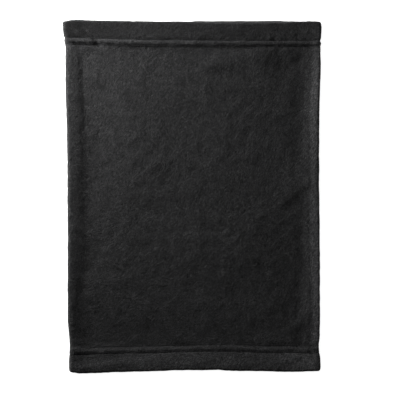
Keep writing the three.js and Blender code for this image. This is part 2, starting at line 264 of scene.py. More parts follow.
# ---- how the front ply settles: a cloth simulation --------------------------------------
def settle():
    """The front ply as a sheet that falls on the back ply and on what lies between them. Returns a function (x, y) -> drop in mm, 0 or less."""
    nx, ny = 78, 104
    y0, y1 = -146.5, 147.0
    gu, gy = np.linspace(0, 1, nx), np.linspace(y0, y1, ny)
    Ug, Yy = np.meshgrid(gu, gy, indexing="ij")

    def across(u, y):
        lo, hi = at(LEFT, y) + BORDER_L, at(RIGHT, y) - CLOTH / 2 - RX - BAND
        return lo + (hi - lo) * u

    X = across(Ug, Yy)

    def obstacle(x, y):
        left, right = at(LEFT, y), at(RIGHT, y)
        allowance = smooth((14.0 - (x - left)) / 1.6)
        base = 5.4 + 0.9 * N4(x / 60 + 3, y / 60) + 0.45 * N5(x / 24 + 3, y / 31)
        label = smooth((x + 116) / 5) * smooth((-66 - x) / 7) * smooth((16 - np.abs(y + 98)) / 5) * smooth((y + 120) / 4)
        return np.maximum(np.maximum(base, 7.4 * allowance), 6.3 * label)

    def plane(name, x, y, z):
        n, m = x.shape
        idx = np.arange(n * m).reshape(n, m)
        faces = np.stack([idx[:-1, :-1], idx[1:, :-1], idx[1:, 1:], idx[:-1, 1:]], -1).reshape(-1, 4)
        me = bpy.data.meshes.new(name)
        me.from_pydata(np.stack([x, y, z], -1).reshape(-1, 3).tolist(), [], faces.tolist())
        ob = bpy.data.objects.new(name, me)
        bpy.context.scene.collection.objects.link(ob)
        return ob

    # ten times life size, which suits the solver
    K = 0.01
    ox, oy = np.meshgrid(np.linspace(-131, 131, 132), np.linspace(-156, 157, 157), indexing="ij")
    ground = plane("sim_ground", ox * K, oy * K, obstacle(ox, oy) * K)
    rest = rest_height(Yy, Yy, X)
    cloth = plane("sim_cloth", X * K, Yy * K, (rest + 0.35 * N1(X / 31, Yy / 37) + 0.15 * N2(X / 15 + Yy / 30, Yy / 21 - X / 31)) * K)
    pins = cloth.vertex_groups.new(name="pins")
    edge = np.zeros(X.shape, bool)
    edge[:1], edge[-1:], edge[:, :1], edge[:, -1:] = True, True, True, True
    pins.add(np.flatnonzero(edge.reshape(-1)).tolist(), 1.0, "REPLACE")
    ground.modifiers.new("c", "COLLISION")
    ground.collision.thickness_outer = 0.004
    ground.collision.cloth_friction = 8
    m = cloth.modifiers.new("cloth", "CLOTH")
    s = m.settings
    s.quality, s.mass, s.air_damping = 6, 0.25, 2.0
    s.tension_stiffness = s.compression_stiffness = 12
    s.shear_stiffness, s.bending_stiffness = 6, 9.0
    s.vertex_group_mass = "pins"
    s.shrink_min = -0.0006
    m.collision_settings.distance_min = 0.008
    m.collision_settings.collision_quality = 2
    m.collision_settings.use_self_collision = False
    m.point_cache.frame_start, m.point_cache.frame_end = 1, 34
    scene = bpy.context.scene
    for f in range(1, 35):
        scene.frame_set(f)
    dg = bpy.context.evaluated_depsgraph_get()
    me = cloth.evaluated_get(dg).to_mesh()
    co = np.empty(len(me.vertices) * 3)
    me.vertices.foreach_get("co", co)
    z = co.reshape(nx, ny, 3)[..., 2] / K
    cloth.evaluated_get(dg).to_mesh_clear()
    scene.frame_set(1)
    for o in (cloth, ground):
        me = o.data
        bpy.data.objects.remove(o)
        bpy.data.meshes.remove(me)
    drop = np.clip(z - rest, -2.4, 0.9)
    rim = np.minimum(np.minimum(Ug, 1 - Ug) * (nx - 1), np.minimum(Yy - y0, y1 - Yy) / (y1 - y0) * (ny - 1))
    # fleece is thicker than the solver's sheet, so its bends are rounder
    for _ in range(14):
        q = np.pad(drop, 1, mode="edge")
        drop = 0.5 * drop + 0.125 * (q[:-2, 1:-1] + q[2:, 1:-1] + q[1:-1, :-2] + q[1:-1, 2:])
    drop = drop * smooth(rim / 3.5)
    print("SETTLE drop min/mean/max", drop.min(), drop.mean(), drop.max())

    def sample(x, y):
        lo, hi = at(LEFT, y) + BORDER_L, at(RIGHT, y) - CLOTH / 2 - RX - BAND
        fx = np.clip((x - lo) / (hi - lo) * (nx - 1), 0, nx - 1.0001)
        fy = np.clip((y - y0) / (y1 - y0) * (ny - 1), 0, ny - 1.0001)
        i, j = fx.astype(int), fy.astype(int)

        def cubic(t):
            return [((-t + 2) * t - 1) * t / 2, ((3 * t - 5) * t) * t / 2 + 1, ((-3 * t + 4) * t + 1) * t / 2, (t - 1) * t * t / 2]

        wa, wb, out = cubic(fx - i), cubic(fy - j), 0.0
        for p in range(4):
            for q in range(4):
                out = out + wa[p] * wb[q] * drop[np.clip(i + p - 1, 0, nx - 1), np.clip(j + q - 1, 0, ny - 1)]
        return out

    return sample


drop = settle()


# ---- middle surface of the panel --------------------------------------------------------
def bent(theta, power=0.86):
    c, s = np.cos(theta), np.sin(theta)
    return np.sign(c) * np.abs(c) ** power, np.sign(s) * np.abs(s) ** power


XL, XR, RXG, BL, BR = side_lines(Y, DG)
RXL = RX_L - 0.25 * DG
ZB, ZT = CLOTH / 2 + DG, side_height(YG) + grooves(YG) - DG
RZ = (ZT - ZB) / 2
cr, sr = bent(np.radians(-90 + 180 * LOCG), 0.66)
cl, sl = bent(np.radians(90 + 180 * LOCG), 0.82)
PX = pick(BL + (BR - BL) * LOCG, BR + (XR - RXG - BR) * LOCG, XR - RXG + RXG * cr, XR - RXG + (BR - XR + RXG) * LOCG,
          BR + (BL - BR) * LOCG, BL + (XL + RXL - BL) * LOCG, XL + RXL + RXL * cl, XL + RXL + (BL - XL - RXL) * LOCG)

ON_TOP = is_[3] | is_[4] | is_[5]


def segment(x, y, ax, ay, bx, by):
    """Distance from a line, signed, and the share along it."""
    L = math.hypot(bx - ax, by - ay)
    t = ((x - ax) * (bx - ax) + (y - ay) * (by - ay)) / L ** 2
    side = ((x - ax) * (by - ay) - (y - ay) * (bx - ax)) / L
    return side, t


def ridge(x, y, a, b, high, wide, run=0.25):
    """A soft ridge, or a groove if high is below 0, from a to b."""
    side, t = segment(x, y, *a, *b)
    return high * bump(side / wide) * smooth((t + run / 2) / run) * smooth((1 + run / 2 - t) / run)


def step(x, y, a, b, high, wide, back, run=0.25):
    """A crease: the cloth rises by high across the line from a to b, and eases down again on its right-hand side."""
    side, t = segment(x, y, *a, *b)
    return high * smooth((side + wide) / (2 * wide)) * smooth((back - side) / back) * smooth((t + run / 2) / run) * smooth((1 + run / 2 - t) / run)


inner_mask = smooth((PX - BL) / 9.0) * smooth((BR - PX) / 5.0)
panel_mask = inner_mask * (1 - HEM)
settled = drop(PX, Y) * smooth((147.0 - np.abs(YG - 0.3)) / 3)
# broad waves, then the few creases that lie across the panel
waves = (0.42 * N1(PX / 47, Y / 52 + 9) + 0.30 * N2(PX / 19 + Y / 60, Y / 23 - PX / 70) + 0.25 * N3(PX / 9.5 + Y / 31, Y / 11 - PX / 37)
         + 0.11 * N5(PX / 5.3 - Y / 41, Y / 6.1 + PX / 29))
folds = (step(PX, Y, (98, 151), (69, 118), 1.15, 12.5, 32, 0.35)
         + ridge(PX, Y, (82.7, 150), (71.7, 133.5), 0.26, 2.0, 0.4)
         + ridge(PX, Y, (94, 145), (104, 149.5), 0.34, 3.0)
         + ridge(PX, Y, (12, 131), (76, 141.5), 1.05, 8.0, 0.4)
         + step(PX, Y, (115, 150), (93, 127), 0.75, 4.6, 12)
         + ridge(PX, Y, (-110.2, 141), (-108.8, 90), -0.8, 4.2, 0.35)
         + step(PX, Y, (-36, -36.5), (34, -36.5), 0.27, 1.5, 40)
         + ridge(PX, Y, (-34, -60), (88, -60), 0.55, 10.0)
         + step(PX, Y, (26, -71), (100, -70.5), -0.18, 1.4, 14)
         + step(PX, Y, (28, -56), (50, -36), 0.30, 2.2, 15)
         + step(PX, Y, (-98, -14), (-14, -13.5), -0.22, 1.6, 16)
         + step(PX, Y, (122, 14.5), (92, -11.5), 1.0, 4.8, 22)
         + step(PX, Y, (124, -118), (98, -141), 0.95, 7.5, 15)
         + ridge(PX, Y, (108, 130), (109, 46), -0.15, 8.0)
         + ridge(PX, Y, (110, -18), (110, -104), -0.45, 7.0)
         + ridge(PX, Y, (-95, 141), (-97, 110), 0.6, 7.0)
         + ridge(PX, Y, (-50, 20), (-14, 44), 0.16, 4.5)
         + ridge(PX, Y, (-30, -2), (-6, -12), -0.16, 4.2)
         + ridge(PX, Y, (-104, -92), (-80, -80), 0.26, 5.5))
hem_wave = (0.22 * N4(PX / 17, YG / 11 + 40) + 0.13 * N5(PX / 7 + 5, YG / 6)) * HEM
hem_folds = (-0.5 * smooth((-60 - PX) / 45) * bump((YG - 165.5) / 5.0) + ridge(PX, Y, (-118, -171.5), (-54, -165.5), 0.7, 3.4) + ridge(PX, Y, (-50, -168), (-20, -162), 0.42, 3.8)
             + ridge(PX, Y, (0, -168), (30, -162), 0.36, 4.0) + ridge(PX, Y, (46, -168), (74, -162), 0.3, 4.0) + ridge(PX, Y, (84, -168), (108, -160), 0.42, 4.0))
lift = panel_mask * (waves + folds) + settled + smooth((PX - BL) / 9.0) * smooth((BR - PX) / 9.0) * (hem_wave + hem_folds)
TOPZ = rest_height(YG, Y, PX, DG) + lift - DG
PZ = pick(ZB, ZB, ZB + RZ + RZ * sr, TOPZ, TOPZ, TOPZ, ZB + RZ + RZ * sl, ZB)
# the seam draws the left edge in
PX = PX + pick(0, 0, 0, 0, 0, 0, 1.25 * bump((PZ - SEAM_Z) / 0.85) * (DG < 0.02), 0)
P = np.stack([PX, Y, PZ], -1)


def normals(p):
    wrapped = np.concatenate([p[-2:-1], p, p[1:2]])
    du, dv = (wrapped[2:] - wrapped[:-2]), np.gradient(p, axis=1)
    n = np.cross(du, dv)
    return n / np.maximum(np.linalg.norm(n, axis=-1, keepdims=True), 1e-9)


NRM = normals(P)
# outward is away from the tube's inside: down on the back ply
if NRM[N_BACK // 2, V // 2, 2] > 0:
    NRM = -NRM

# ---- flat coordinates on the cut panel --------------------------------------------------
along_u = np.concatenate([[0], np.cumsum(np.linalg.norm(np.diff(P[:, V // 2], axis=0), axis=1))])
along_v = np.concatenate([[0], np.cumsum(np.linalg.norm(np.diff(P[I_F + N_FRONT // 2], axis=0), axis=1))])
CU, CV = np.meshgrid(along_u, along_v, indexing="ij")
print("PANEL flat mm", along_u[-1], along_v[-1])

# ---- relief of the outer face: sewing, puckers and the fleece's pebbles -----------------
outer_ply = DG < 0.02


def near(ref, w):
    return bump((YG - ref) / w)


# the rows go on over the back, and round the sides as the front's grooves fade out
sides_and_back = pick(1.0, 1.0, 1 - smooth(LOCG * 1.6 - 0.6), 0.0, 0.0, 0.0, smooth(LOCG * 1.6), 1.0)
row_depth = -sides_and_back * grooves(YG) * np.where(ON_TOP, 0.0, 1.0)
rows = sum(bump((YG - r) / 6.0) for r in (REF["to"], REF["ti"], REF["bo"], REF["bi"]))
shift = FRONT * 31
gather = 0.15 * N2(PX / 4.6 + shift, YG / 9) + 0.10 * N3(PX / 2.9 + shift, YG / 7)
relief = -row_depth + np.minimum(rows, 1.0) * gather
# a pull line slants across the upper rows near the seam, and small puffs where the seam's plies are caught in the hem
side, t = segment(PX, Y, -109.8, 166.3, -93.2, 151.5)
pull = bump(side / 1.4) * smooth((t + 0.05) / 0.25) * smooth((1.08 - t) / 0.2)
dent = bump(np.hypot((t - 0.97) * 22.2 / 4.5, side / 2.2))
# where the painted shadow in the pull's crease lies
pull_painted_shadow = bump(np.hypot((t - 0.80) * 22.2 / 5.0, side / 1.9))
puffs = (0.35 * bump(np.hypot(PX + 106.5, Y - 167.3) / 1.9) + 0.45 * bump(np.hypot(PX + 116.0, Y - 165.0) / 3.2) + 0.35 * bump(np.hypot(PX + 101.5, Y - 159.5) / 2.6)
         + 0.45 * bump(np.hypot((PX - 113) / 1.2, Y - 165.5) / 3.0) + 0.3 * bump(np.hypot(PX - 101, Y - 165.5) / 2.6))
relief = relief + np.where(FRONT > 0.6, -0.4 * pull - 1.5 * dent + puffs, 0.0)
relief = np.where(outer_ply, relief, 0.0)
# pebbles: fleece raised by brushing curls into small grains that lean along one slant
ca, sa = math.cos(math.radians(-52)), math.sin(math.radians(-52))
ga, gb = CU * ca - CV * sa, CU * sa + CV * ca
jig = 1.4 * N5(CU / 7, CV / 7)
pebble = (0.50 * N3(ga / 2.8, gb / 2.4) + 0.45 * N1(CU / 3.4 + 40, CV / 3.4) + 0.75 * N4(ga / 6.0 + 3, gb / 4.9)
          + 0.45 * N2(CV / 2.05 + 9, CU / 2.1) + 1.1 * N5((CU + jig) / 9.5, CV / 8.6))
relief = relief + PEBBLE * pebble
half = CLOTH / 2
OUT = P + NRM * (half + relief)[..., None]
room = pick(half, half, np.minimum(half, 0.75 * np.minimum(RXG, RZ)), half, half, half, np.minimum(half, 0.75 * np.minimum(RXL, RZ)), half)
INN = P - NRM * room[..., None]
OUT[..., 2] = np.maximum(OUT[..., 2], 0.02)
# inside the lower hem the front's turned-in ply is pressed thinner, clear of the back's ply and of the threads on it
for j in range(V1 + 1, V):
    near = smooth((YREF[j] - REF["bo"] + 4.0) / 2.5)
    inward = OUT[I_F:I_L + 1, j, 2]
    under = np.interp(PX[I_F:I_L + 1, j], PX[:I_R + 1, j], OUT[:I_R + 1, j, 2])
    clear = np.minimum(np.maximum(inward, under + 1.9), np.maximum(inward, INN[I_F:I_L + 1, j, 2] - 0.6))
    OUT[I_F:I_L + 1, j, 2] = inward + near * (clear - inward)
# painted light and shade on the outer face's colour, carried by the tone attribute as a multiplier (1 keeps the
# fleece's own colour): painted highlights along the right fold, on its rounded rim and on the puffs, a painted shadow
# in the pull's crease, painted shade near the seam and towards the lower left, and lighter and darker patches and lines
# on the panel and hems that stand in for the light and shade of folds; the lower hem lighter
over = FRONT > 0.6


def light_shade_line(a, b, wide, run=0.3):
    """1 along a line on the panel, 0 away from it: where a line of painted light (weight above 0) or of painted shade
    (weight below 0) goes.
    """
    side, t = segment(PX, Y, *a, *b)
    return bump(side / wide) * smooth((t + run / 2) / run) * smooth((1 + run / 2 - t) / run)


from_edge = XR - PX
# a painted highlight in two bands along the right fold, stronger towards the top and bottom of the panel
fold_band_highlight = ((0.95 - 0.5 * bump((Y - 8) / 22) + 0.25 * smooth((-50 - Y) / 20) + 0.25 * smooth((Y - 70) / 15)) * smooth((9.4 - from_edge) / 2.8)
           + (0.20 + 0.14 * smooth((Y - 35) / 15) + 0.24 * bump((Y - 100) / 22)) * (1 - 0.9 * bump((Y + 135) / 8)) * smooth((16.2 - from_edge) / 2.8))
# lines and patches of painted light (weights above 0) and painted shade (weights below 0) that stand in for the light
# and shade of folds on the panel
fold_light_shade = (0.70 * light_shade_line((116, -99), (103, -126), 5.2) - 0.24 * light_shade_line((108, 143), (80, 127), 8.0) + 0.35 * bump(np.hypot(PX - 40.5, Y - 131) / 4.0) - 0.20 * light_shade_line((120, -128), (100, -141), 6.0) + 0.30 * light_shade_line((105, -147), (117, -144), 2.6)
           + 0.22 * light_shade_line((12, 139), (76, 143), 5.5) - 0.16 * light_shade_line((97, 139), (106, 136), 5.5) - 0.12 * light_shade_line((96, -9), (118, 11), 4.0)
           + 0.28 * bump(np.hypot((PX - 98) / 12, (Y - 24) / 13)) + 0.12 * light_shade_line((-34, -40), (32, -40), 4.0))
mid_right = smooth((Y - 5) / 10) * smooth((95 - Y) / 12)
low_left = smooth((-58 - PX) / 14)
PAINTED_LIGHT_SHADE = (1 + over * (fold_band_highlight * (1 - HEM) + 0.10 * smooth((24.0 - from_edge) / 14) - 0.5 * mid_right * smooth((4.0 - from_edge) / 1.8) + fold_light_shade * (1 - HEM))
        # lighter over the lower hem, most towards the right, and darker at its right end
        + smooth((-153 - YG) / 4) * (0.30 + 0.25 * smooth((PX + 72) / 16) + 1.10 * smooth((PX - 84) / 22) + 0.3 * bump((PX - 119) / 4) - 0.9 * smooth((PX - 124) / 2.5)
                                     + low_left * (0.30 * bump((YG + 166.5) / 3.2) - 0.20 * smooth((YG + 162) / 4)))
        # darker over the upper hem, most towards the left
        - over * smooth((YG - 155) / 5) * (0.13 + 0.26 * smooth((-40 - PX) / 45) + 0.20 * smooth((-100 - PX) / 14) + 0.20 * smooth((-62 - PX) / 25))
        # a little lighter over the upper hem towards the right
        + over * 0.10 * smooth((YG - 153) / 6) * smooth((PX - 20) / 60)
        # painted shade: darker near the seam, towards the lower left, and above the lower hem on the left
        - over * (0.08 * smooth((18.0 - (PX - XL)) / 5) + 0.09 * smooth((-30 - Y) / 90) * smooth((30 - PX) / 90) + 0.14 * smooth((-118 - YG) / 14) * smooth((YG + 152) / 3) * smooth((75 - PX) / 35))
        # a painted shadow in the pull's crease, painted highlights on the puffs at the upper corners, and a painted
        # highlight above the lower hem on the right
        - over * 0.85 * np.clip(0.4 * pull + pull_painted_shadow, 0, 1) * (np.abs(YG - 157) < 12) + over * (1.7 * bump(np.hypot(PX + 104.7, Y - 165.8) / 1.1) + 1.2 * bump(np.hypot(PX + 114.6, Y - 164.6) / 2.2) + 1.3 * bump(np.hypot(PX - 115, Y - 165) / 1.7) + 1.0 * bump(np.hypot(PX - 123, Y - 163.5) / 2.0) + 0.35 * bump((YG + 145) / 3) * smooth((PX - 55) / 15) * smooth((106 - PX) / 10))
        # a painted highlight along the upper hem's inner row; on the back ply, lighter towards the upper fold on the
        # right
        + over * 0.28 * bump((YG - 150.6) / 1.7) * smooth(PX / 60) + (1 - over) * 0.7 * smooth((YG - 169) / 3) * smooth((PX + 40) / 50))
# a painted highlight on the upper half of the right fold's rounded rim
PAINTED_LIGHT_SHADE = np.where(outer_ply, np.maximum(PAINTED_LIGHT_SHADE, 0.12) + 1.2 * is_[2] * smooth((LOCG - 0.45) / 0.2) * (1 - HEM) * (1 - 0.8 * mid_right), 1.0)


# ---- mesh helpers -----------------------------------------------------------------------
def link(name, verts, faces, smooth_faces=True):
    me = bpy.data.meshes.new(name)
    verts, n = np.asarray(verts, np.float32), len(verts)
    if isinstance(faces, np.ndarray):
        sizes, loops = np.full(len(faces), faces.shape[1]), faces.reshape(-1)
    else:
        sizes, loops = np.array([len(f) for f in faces]), np.concatenate([np.asarray(f) for f in faces])
    me.vertices.add(n)
    me.vertices.foreach_set("co", (verts * MM).reshape(-1))
    me.loops.add(len(loops))
    me.loops.foreach_set("vertex_index", loops.astype(np.int32))
    me.polygons.add(len(sizes))
    me.polygons.foreach_set("loop_start", np.concatenate([[0], np.cumsum(sizes)[:-1]]).astype(np.int32))
    me.polygons.foreach_set("use_smooth", np.full(len(sizes), smooth_faces))
    me.update(calc_edges=True)
    me.validate()
    ob = bpy.data.objects.new(name, me)
    bpy.context.scene.collection.objects.link(ob)
    return ob


def outward(ob):
    """Makes the faces of a closed mesh point out, and returns its volume."""
    bm = bmesh.new()
    bm.from_mesh(ob.data)
    vol = bm.calc_volume(signed=True)
    if vol < 0:
        bmesh.ops.reverse_faces(bm, faces=bm.faces)
        bm.to_mesh(ob.data)
    bm.free()
    return abs(vol)


def attribute(ob, name, values, kind="FLOAT_VECTOR"):
    a = ob.data.attributes.new(name, kind, "POINT")
    a.data.foreach_set("vector" if kind == "FLOAT_VECTOR" else "value", np.asarray(values, np.float32).reshape(-1))


def slab(outside, inside, k=1):
    """A closed sheet of cloth from its two faces' grids. The inner face keeps every k-th row and column. Returns vertices, faces, and which vertices lie on a rim."""
    n, m = outside.shape[:2]
    fine = np.arange(n * m).reshape(n, m)
    inner = inside[::k, ::k]
    cn, cm = inner.shape[:2]
    coarse = np.arange(cn * cm).reshape(cn, cm) + n * m

    def quads(idx):
        return np.stack([idx[:-1, :-1], idx[1:, :-1], idx[1:, 1:], idx[:-1, 1:]], -1).reshape(-1, 4)

    faces = quads(fine).tolist() + quads(coarse)[:, ::-1].tolist()
    for f, c in ((fine[:, 0], coarse[:, 0]), (fine[::-1, -1], coarse[::-1, -1]), (fine[0, ::-1], coarse[0, ::-1]), (fine[-1, :], coarse[-1, :])):
        for j in range(len(c) - 1):
            run = f[j * k:(j + 1) * k + 1].tolist()
            if k == 1:
                faces.append([int(c[j]), int(c[j + 1]), run[1], run[0]])
            else:
                mid = len(run) // 2
                faces += [[int(c[j]), run[i + 1], run[i]] for i in range(mid)]
                faces += [[int(c[j]), int(c[j + 1]), run[mid]]]
                faces += [[int(c[j + 1]), run[i + 1], run[i]] for i in range(mid, len(run) - 1)]
    rim = np.zeros(n * m + cn * cm, bool)
    for g in (fine, coarse):
        rim[np.concatenate([g[:, 0], g[:, -1], g[0], g[-1]])] = True
    return np.concatenate([outside.reshape(-1, 3), inner.reshape(-1, 3)]), faces, rim


def sharp_rim(ob, rim, n_outer):
    """The rim meets both faces of the cloth in a sharp edge."""
    me = ob.data
    e = np.empty(len(me.edges) * 2, np.int32)
    me.edges.foreach_get("vertices", e)
    e = e.reshape(-1, 2)
    same = (e[:, 0] < n_outer) == (e[:, 1] < n_outer)
    me.edges.foreach_set("use_edge_sharp", rim[e[:, 0]] & rim[e[:, 1]] & same)


# ---- materials --------------------------------------------------------------------------
def nodes_of(name):
    mat = bpy.data.materials.new(name)
    mat.use_nodes = True
    nt = mat.node_tree
    for n in list(nt.nodes):
        if n.type != "OUTPUT_MATERIAL":
            nt.nodes.remove(n)
    out = [n for n in nt.nodes if n.type == "OUTPUT_MATERIAL"][0]
    b = nt.nodes.new("ShaderNodeBsdfPrincipled")
    nt.links.new(b.outputs[0], out.inputs[0])
    return mat, nt, b


def add_math(nt, op, a, b=None):
    n = nt.nodes.new("ShaderNodeMath")
    n.operation = op
    for i, v in enumerate((a, b)):
        if v is None:
            continue
        if isinstance(v, (int, float)):
            n.inputs[i].default_value = v
        else:
            nt.links.new(v, n.inputs[i])
    return n.outputs[0]


def ramp(nt, fac, stops):
    n = nt.nodes.new("ShaderNodeValToRGB")
    nt.links.new(fac, n.inputs[0])
    e = n.color_ramp.elements
    e[0].position, e[0].color = stops[0][0], (*stops[0][1], 1)
    e[1].position, e[1].color = stops[-1][0], (*stops[-1][1], 1)
    for p, c in stops[1:-1]:
        x = e.new(p)
        x.color = (*c, 1)
    return n.outputs[0]


def tex_noise(nt, vec, scale, detail=2.0, rough=0.5, distortion=0.0):
    n = nt.nodes.new("ShaderNodeTexNoise")
    nt.links.new(vec, n.inputs["Vector"])
    n.inputs["Scale"].default_value = scale
    n.inputs["Detail"].default_value = detail
    n.inputs["Roughness"].default_value = rough
    n.inputs["Distortion"].default_value = distortion
    return n.outputs["Fac"]


def pebbles(nt, vec, scale):
    """Rounded grains, 1 at their middles and 0 between them."""
    n = nt.nodes.new("ShaderNodeTexVoronoi")
    n.feature = "SMOOTH_F1"
    nt.links.new(vec, n.inputs["Vector"])
    n.inputs["Scale"].default_value = scale
    n.inputs["Smoothness"].default_value = 0.35
    return add_math(nt, "SUBTRACT", 1.0, n.outputs["Distance"])


def mapping(nt, vec, rot, scale, loc=(0, 0, 0)):
    n = nt.nodes.new("ShaderNodeMapping")
    nt.links.new(vec, n.inputs["Vector"])
    n.inputs["Rotation"].default_value = rot
    n.inputs["Scale"].default_value = scale
    n.inputs["Location"].default_value = loc
    return n.outputs[0]


def attribute_node(nt, name):
    n = nt.nodes.new("ShaderNodeAttribute")
    n.attribute_name = name
    return n


def bump_node(nt, height, distance, strength=1.0, normal=None):
    n = nt.nodes.new("ShaderNodeBump")
    n.inputs["Strength"].default_value = strength
    n.inputs["Distance"].default_value = distance
    nt.links.new(height, n.inputs["Height"])
    if normal is not None:
        nt.links.new(normal, n.inputs["Normal"])
    return n.outputs[0]


def scaled(nt, colour, factor):
    n = nt.nodes.new("ShaderNodeVectorMath")
    n.operation = "SCALE"
    nt.links.new(colour, n.inputs[0])
    nt.links.new(factor, n.inputs["Scale"])
    return n.outputs[0]


def fleece_material():
    """Black fleece, raised by brushing. Coordinates are millimetres on the flat panel."""
    mat, nt, b = nodes_of("black_fleece")
    cut = attribute_node(nt, "cut").outputs["Vector"]
    # the tone attribute is painted light and shade; it scales the base colour (1 keeps the fleece's own colour)
    own = attribute_node(nt, "tone").outputs["Fac"]
    turned = mapping(nt, cut, (0, 0, math.radians(-52)), (1, 1, 1))
    nap = mapping(nt, turned, (0, 0, 0), (0.42, 1.0, 1.0))
    grains = tex_noise(nt, cut, 1.05, 2.0, 0.60)              # grains of about 1 mm
    lumps = pebbles(nt, mapping(nt, turned, (0, 0, 0), (0.90, 1.0, 1.0)), 0.55)   # pebbles of 2 mm, a little longer on the slant
    clumps = tex_noise(nt, turned, 0.15, 4.0, 0.74)           # and how they gather
    fibre = tex_noise(nt, nap, 2.6, 3.0, 0.65, 0.8)           # single tufts of fibre
    cloudy = tex_noise(nt, cut, 0.10, 5.0, 0.78)
    tips = tex_noise(nt, mapping(nt, turned, (0, 0, 0), (0.46, 1.0, 1.0)), 0.78, 1.0, 0.5)   # the nap's pale tips
    h = add_math(nt, "ADD", add_math(nt, "ADD", add_math(nt, "MULTIPLY", grains, 0.48), add_math(nt, "MULTIPLY", lumps, 0.20)), add_math(nt, "MULTIPLY", clumps, 0.32))
    tone = add_math(nt, "ADD", add_math(nt, "ADD", add_math(nt, "MULTIPLY", h, 0.40), add_math(nt, "MULTIPLY", tips, 0.34)), add_math(nt, "MULTIPLY", cloudy, 0.26))
    col = ramp(nt, tone, [(0.38, (0.0052, 0.0052, 0.0053)), (0.50, (0.0184, 0.0184, 0.0188)), (0.62, (0.0445, 0.0445, 0.0450))])
    # base colour times the painted light and shade
    nt.links.new(scaled(nt, col, own), b.inputs["Base Color"])
    rough = add_math(nt, "ADD", add_math(nt, "MULTIPLY", fibre, 0.14), 0.84)
    nt.links.new(rough, b.inputs["Roughness"])
    b.inputs["Specular IOR Level"].default_value = 0.12
    b.inputs["Sheen Weight"].default_value = 0.12
    b.inputs["Sheen Roughness"].default_value = 0.5
    b.inputs["Sheen Tint"].default_value = (0.8, 0.8, 0.82, 1)
    n1 = bump_node(nt, h, 0.0038)
    n2 = bump_node(nt, fibre, 0.0006, normal=n1)
    nt.links.new(n2, b.inputs["Normal"])
    return mat


def thread_material():
    """Black polyester thread of two twisted plies. Coordinates: length in mm, angle, thread number."""
    mat, nt, b = nodes_of("black_thread")
    tw = attribute_node(nt, "twist").outputs["Vector"]
    split = nt.nodes.new("ShaderNodeSeparateXYZ")
    nt.links.new(tw, split.inputs[0])
    phase = add_math(nt, "ADD", add_math(nt, "MULTIPLY", split.outputs[0], 2 * math.pi / 0.55), add_math(nt, "MULTIPLY", split.outputs[1], 2.0))
    ply = add_math(nt, "SINE", phase)
    fuzz = tex_noise(nt, tw, 6.0, 2.0, 0.6)
    tone = add_math(nt, "ADD", add_math(nt, "MULTIPLY", ply, 0.22), add_math(nt, "ADD", add_math(nt, "MULTIPLY", fuzz, 0.4), 0.3))
    nt.links.new(ramp(nt, tone, [(0.15, (0.008, 0.008, 0.009)), (0.5, (0.016, 0.016, 0.017)), (0.85, (0.034, 0.034, 0.036))]), b.inputs["Base Color"])
    nt.links.new(add_math(nt, "ADD", add_math(nt, "MULTIPLY", fuzz, 0.3), 0.38), b.inputs["Roughness"])
    b.inputs["Specular IOR Level"].default_value = 0.35
    b.inputs["Anisotropic"].default_value = 0.4
    nt.links.new(bump_node(nt, ply, 0.00004), b.inputs["Normal"])
    return mat


def label_material():
    """White satin ribbon with a fine warp, a faint woven selvedge and nothing printed on it. Coordinates: mm on the ribbon."""
    mat, nt, b = nodes_of("label_satin")
    cut = attribute_node(nt, "cut").outputs["Vector"]
    split = nt.nodes.new("ShaderNodeSeparateXYZ")
    nt.links.new(cut, split.inputs[0])
    warp_ = add_math(nt, "SINE", add_math(nt, "MULTIPLY", split.outputs[1], 2 * math.pi / 0.24))
    weft = add_math(nt, "SINE", add_math(nt, "MULTIPLY", split.outputs[0], 2 * math.pi / 0.4))
    rib = add_math(nt, "MULTIPLY", warp_, add_math(nt, "ADD", add_math(nt, "MULTIPLY", weft, 0.3), 0.7))
    stain = tex_noise(nt, cut, 0.12, 3.0, 0.5)
    edge_ = add_math(nt, "GREATER_THAN", add_math(nt, "ABSOLUTE", split.outputs[1]), 12.6)
    tone = add_math(nt, "ADD", add_math(nt, "MULTIPLY", rib, 0.10), add_math(nt, "ADD", add_math(nt, "MULTIPLY", stain, 0.35), add_math(nt, "MULTIPLY", edge_, -0.10)))
    nt.links.new(ramp(nt, add_math(nt, "ADD", tone, 0.32), [(0.2, (0.62, 0.61, 0.58)), (0.5, (0.76, 0.75, 0.72)), (0.8, (0.84, 0.835, 0.81))]), b.inputs["Base Color"])
    nt.links.new(add_math(nt, "ADD", add_math(nt, "MULTIPLY", stain, 0.25), 0.32), b.inputs["Roughness"])
    b.inputs["Sheen Weight"].default_value = 0.3
    b.inputs["Anisotropic"].default_value = 0.5
    nt.links.new(bump_node(nt, rib, 0.00003), b.inputs["Normal"])
    return mat


FLEECE, THREAD, LABEL = fleece_material(), thread_material(), label_material()


# ---- the cloth: four closed pieces cut from one panel, edge to edge ---------------------
def cloth_piece(name, i0, i1, k=1):
    """One piece of the cut panel, from column i0 to column i1."""
    sl = slice(i0, i1 + 1)
    verts, faces, rim = slab(OUT[sl], INN[sl], k)
    ob = link(name, verts, faces)
    vol = outward(ob)
    n_outer = (i1 + 1 - i0) * V
    sharp_rim(ob, rim, n_outer)
    one = np.stack([CU[sl], CV[sl], np.zeros_like(CU[sl])], -1).reshape(-1, 3)
    two = np.stack([CU[sl] + 700, CV[sl], np.ones_like(CU[sl])], -1)[::k, ::k].reshape(-1, 3)
    attribute(ob, "cut", np.concatenate([one, two]))
    # the painted light and shade goes on the outer face; the inner face stays at 1
    attribute(ob, "tone", np.concatenate([PAINTED_LIGHT_SHADE[sl].reshape(-1), np.ones(len(two))]), "FLOAT")
    ob.data.materials.append(FLEECE)
    return ob


